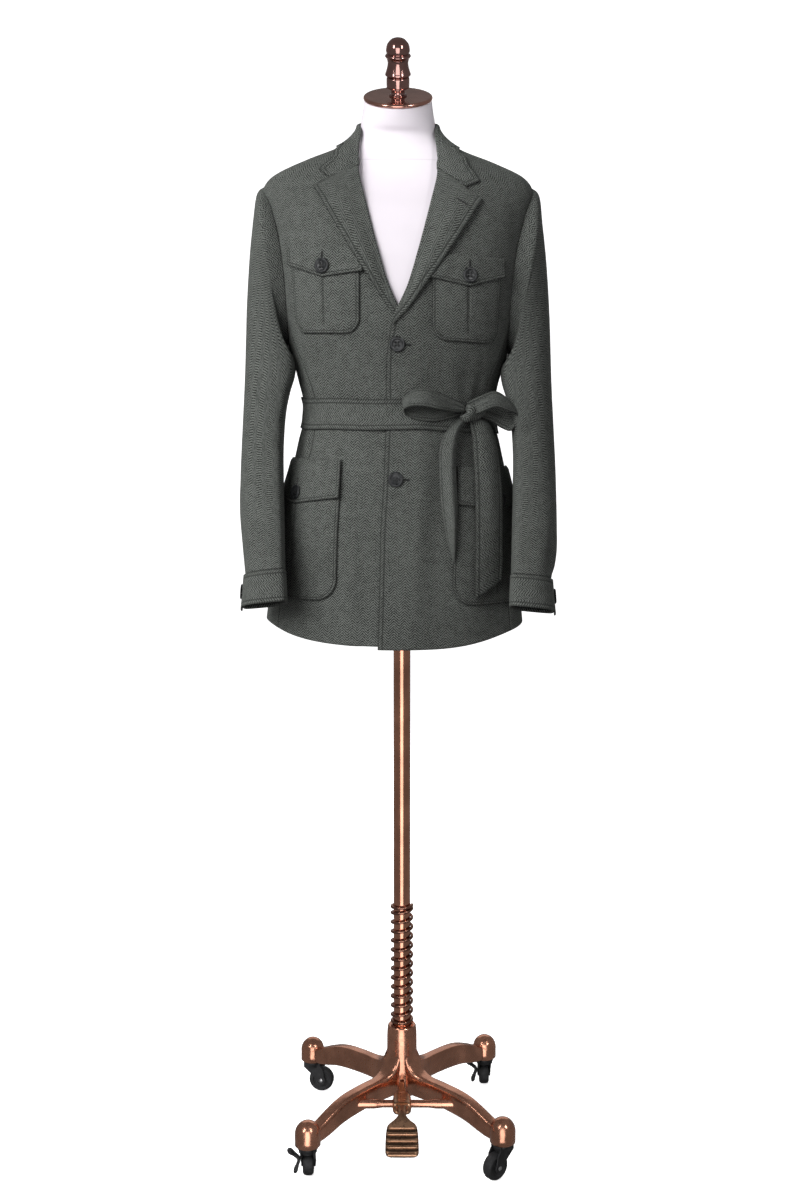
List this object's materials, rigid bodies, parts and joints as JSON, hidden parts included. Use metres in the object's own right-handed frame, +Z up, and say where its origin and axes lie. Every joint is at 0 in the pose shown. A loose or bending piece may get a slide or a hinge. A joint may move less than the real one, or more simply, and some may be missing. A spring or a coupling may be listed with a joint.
{
  "type": "belted safari jacket on a wheeled dress form",
  "caption": "Belted safari jacket with notch lapels, flapped patch pockets and a tied waist bow, worn by a limbless dress form on a copper pole stand with castors.",
  "frame": {"origin": "on the floor, under the axis of the pole", "axes": "+Z up along the pole, -Y out of the jacket's front, +X to the wearer's left"},
  "size_m": [0.498, 0.3839, 1.7708],
  "materials": {
    "cloth": "green-grey wool, fine herringbone",
    "button": "dark horn",
    "form": "smooth white stretch cover",
    "copper": "polished copper plate",
    "spring": "dark copper wire",
    "castor": "black",
    "wheel": "black"
  },
  "bodies": {
    "base": {"hub": "copper", "leg_front_left": "copper", "leg_front_right": "copper", "leg_back_left": "copper", "leg_back_right": "copper", "cross_bar": "copper", "spring": "spring"},
    "castor_front_right": {"fork_front_right": "castor"},
    "castor_front_left": {"fork_front_left": "castor"},
    "castor_back_right": {"fork_back_right": "castor"},
    "castor_back_left": {"fork_back_left": "castor"},
    "wheel_front_right": {"wheel_front_right": "wheel"},
    "wheel_front_left": {"wheel_front_left": "wheel"},
    "wheel_back_right": {"wheel_back_right": "wheel"},
    "wheel_back_left": {"wheel_back_left": "wheel"},
    "brake_front_right": {"brake_front_right": "castor"},
    "brake_back_left": {"brake_back_left": "castor"},
    "pedal": {"pedal": "copper"},
    "mast": {"pole": "copper"},
    "form": {"torso": "form", "neck_cap": "copper", "finial": "copper", "back": "cloth", "front_left": "cloth", "front_right": "cloth", "side_left": "cloth", "side_right": "cloth", "sleeve_left": "cloth", "sleeve_right": "cloth", "cuff_left": "cloth", "cuff_right": "cloth", "collar": "cloth", "collar_stand": "cloth", "lapel_left": "cloth", "lapel_right": "cloth", "chest_pocket_left": "cloth", "chest_pocket_right": "cloth", "chest_flap_left": "cloth", "chest_flap_right": "cloth", "hip_pocket_left": "cloth", "hip_pocket_right": "cloth", "hip_flap_left": "cloth", "hip_flap_right": "cloth", "belt": "cloth", "belt_knot": "cloth", "bow_loop_left": "cloth", "bow_loop_right": "cloth", "belt_tail_left": "cloth", "belt_tail_right": "cloth", "front_button_1": "button", "front_button_2": "button", "chest_button_left": "button", "chest_button_right": "button", "hip_button_left": "button", "hip_button_right": "button", "cuff_button_left": "button", "cuff_button_right": "button"}
  },
  "joints": [
    {"name": "height_slide", "type": "slide", "parent": "base", "child": "mast", "axis": [0, 0, 1], "range_m": [-0.1, 0.04], "deforming": ["spring"]},
    {"name": "form_turn", "type": "hinge", "parent": "mast", "child": "form", "pos_m": [0, 0, 0.9], "axis": [0, 0, 1], "continuous": true},
    {"name": "pedal_tip", "type": "hinge", "parent": "base", "child": "pedal", "pos_m": [0, -0.085, 0.0885], "axis": [1, 0, 0], "range_deg": [-3, 12]},
    {"name": "castor_front_right_swivel", "type": "hinge", "parent": "base", "child": "castor_front_right", "pos_m": [-0.14936, -0.16017, 0.05], "axis": [0, 0, 1], "continuous": true},
    {"name": "castor_front_left_swivel", "type": "hinge", "parent": "base", "child": "castor_front_left", "pos_m": [0.16017, -0.14936, 0.05], "axis": [0, 0, 1], "continuous": true},
    {"name": "castor_back_right_swivel", "type": "hinge", "parent": "base", "child": "castor_back_right", "pos_m": [-0.16017, 0.14936, 0.05], "axis": [0, 0, 1], "continuous": true},
    {"name": "castor_back_left_swivel", "type": "hinge", "parent": "base", "child": "castor_back_left", "pos_m": [0.14936, 0.16017, 0.05], "axis": [0, 0, 1], "continuous": true},
    {"name": "wheel_front_right_roll", "type": "hinge", "parent": "castor_front_right", "child": "wheel_front_right", "pos_m": [-0.14936, -0.14417, 0.02173], "axis": [-1, 0, 0], "continuous": true},
    {"name": "wheel_front_left_roll", "type": "hinge", "parent": "castor_front_left", "child": "wheel_front_left", "pos_m": [0.14791, -0.15964, 0.02173], "axis": [0.6428, -0.766, 0], "continuous": true},
    {"name": "wheel_back_right_roll", "type": "hinge", "parent": "castor_back_right", "child": "wheel_back_right", "pos_m": [-0.14425, 0.14769, 0.02173], "axis": [0.1045, 0.9945, 0], "continuous": true},
    {"name": "wheel_back_left_roll", "type": "hinge", "parent": "castor_back_left", "child": "wheel_back_left", "pos_m": [0.14936, 0.17617, 0.02173], "axis": [-1, 0, 0], "continuous": true},
    {"name": "brake_front_right_tip", "type": "hinge", "parent": "castor_front_right", "child": "brake_front_right", "pos_m": [-0.16436, -0.15217, 0.03], "axis": [0, 1, 0], "range_deg": [-8, 8]},
    {"name": "brake_back_left_tip", "type": "hinge", "parent": "castor_back_left", "child": "brake_back_left", "pos_m": [0.13436, 0.16817, 0.03], "axis": [0, 1, 0], "range_deg": [-8, 8]}
  ]
}
